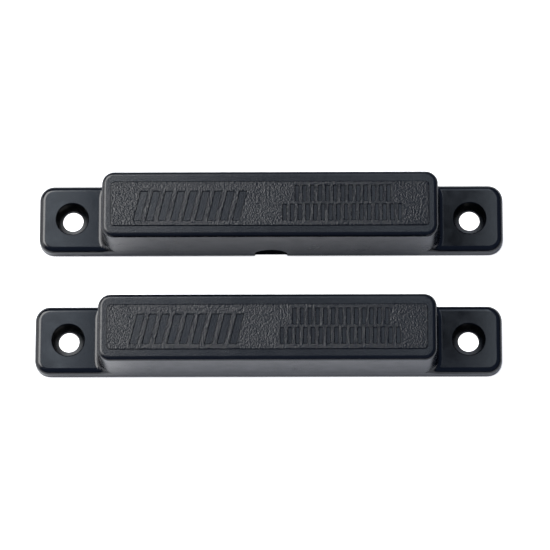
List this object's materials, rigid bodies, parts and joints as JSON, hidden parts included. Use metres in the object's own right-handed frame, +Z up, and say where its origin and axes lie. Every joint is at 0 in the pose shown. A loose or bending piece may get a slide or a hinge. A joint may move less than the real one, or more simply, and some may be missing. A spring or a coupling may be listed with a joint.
{
  "type": "door contact sensor",
  "caption": "Surface-mount magnetic door contact: slim reed switch half with screw terminals and a cable notch, and a matching magnet half that travels away from it.",
  "frame": {"origin": "midway between the switch half's two screw holes, on the mounting face", "axes": "+X along both housings, +Z up from the mounting face, and -Y from the switch half towards the magnet half"},
  "size_m": [0.0804, 0.0331, 0.0136],
  "materials": {
    "housing": "black ABS, satin gloss walls and a fine-grained pad on top",
    "board": "glass-fibre board with green solder mask",
    "steel": "zinc-plated steel",
    "glass": "clear soda glass with a green tint",
    "copper": "bare copper track",
    "nickel": "nickel-iron wire and blades",
    "silicone": "white silicone",
    "solder": "bright tin solder",
    "brass": "brass, lightly tinned",
    "magnet": "sintered ferrite, ground dark grey",
    "foam": "black closed-cell foam",
    "retainer": "black ABS plate"
  },
  "bodies": {
    "switch_unit": {"switch_housing": "housing", "circuit_board": "board", "board_screws": "steel", "reed_glass": "glass", "copper_trace_left": "copper", "copper_trace_right": "copper", "reed_lead_left": "nickel", "reed_lead_right": "nickel", "reed_pad_left": "silicone", "reed_pad_right": "silicone", "lead_solder_left": "solder", "lead_solder_right": "solder", "terminal_plate_left": "brass", "terminal_plate_right": "brass", "tab_solder_left": "solder", "tab_solder_right": "solder"},
    "blade_left": {"reed_blade_left": "nickel"},
    "blade_right": {"reed_blade_right": "nickel"},
    "clamp_left": {"terminal_clamp_left": "steel"},
    "screw_left": {"terminal_screw_left": "steel"},
    "clamp_right": {"terminal_clamp_right": "steel"},
    "screw_right": {"terminal_screw_right": "steel"},
    "magnet_unit": {"magnet_housing": "housing", "bar_magnet": "magnet", "magnet_pad": "foam", "magnet_retainer": "retainer", "retainer_screws": "steel"}
  },
  "joints": [
    {"name": "magnet_travel", "type": "slide", "parent": "switch_unit", "child": "magnet_unit", "axis": [0, -1, 0], "range_m": [-0.005, 0.06]},
    {"name": "blade_left_flex", "type": "hinge", "parent": "switch_unit", "child": "blade_left", "pos_m": [-0.00645, 0.00275, 0.00662], "axis": [0, -1, 0], "range_deg": [-0.1, 0.9]},
    {"name": "blade_right_flex", "type": "hinge", "parent": "switch_unit", "child": "blade_right", "pos_m": [0.00645, 0.00275, 0.00638], "axis": [0, -1, 0], "range_deg": [-0.1, 0.9]},
    {"name": "clamp_left_travel", "type": "slide", "parent": "switch_unit", "child": "clamp_left", "axis": [0, 0, -1], "range_m": [0, 0.0012]},
    {"name": "screw_left_turn", "type": "hinge", "parent": "clamp_left", "child": "screw_left", "pos_m": [-0.0166, -0.0013, 0.0059], "axis": [0, 0, -1], "range_deg": [0, 864]},
    {"name": "clamp_right_travel", "type": "slide", "parent": "switch_unit", "child": "clamp_right", "axis": [0, 0, -1], "range_m": [0, 0.0012]},
    {"name": "screw_right_turn", "type": "hinge", "parent": "clamp_right", "child": "screw_right", "pos_m": [0.0166, -0.0013, 0.0059], "axis": [0, 0, -1], "range_deg": [0, 864]}
  ],
  "couplings": [
    {"joint": "blade_left_flex", "follows": "magnet_travel", "rad_per_m": 0.25},
    {"joint": "blade_right_flex", "follows": "magnet_travel", "rad_per_m": 0.25},
    {"joint": "screw_left_turn", "follows": "clamp_left_travel", "rad_per_m": 12566},
    {"joint": "screw_right_turn", "follows": "clamp_right_travel", "rad_per_m": 12566}
  ]
}
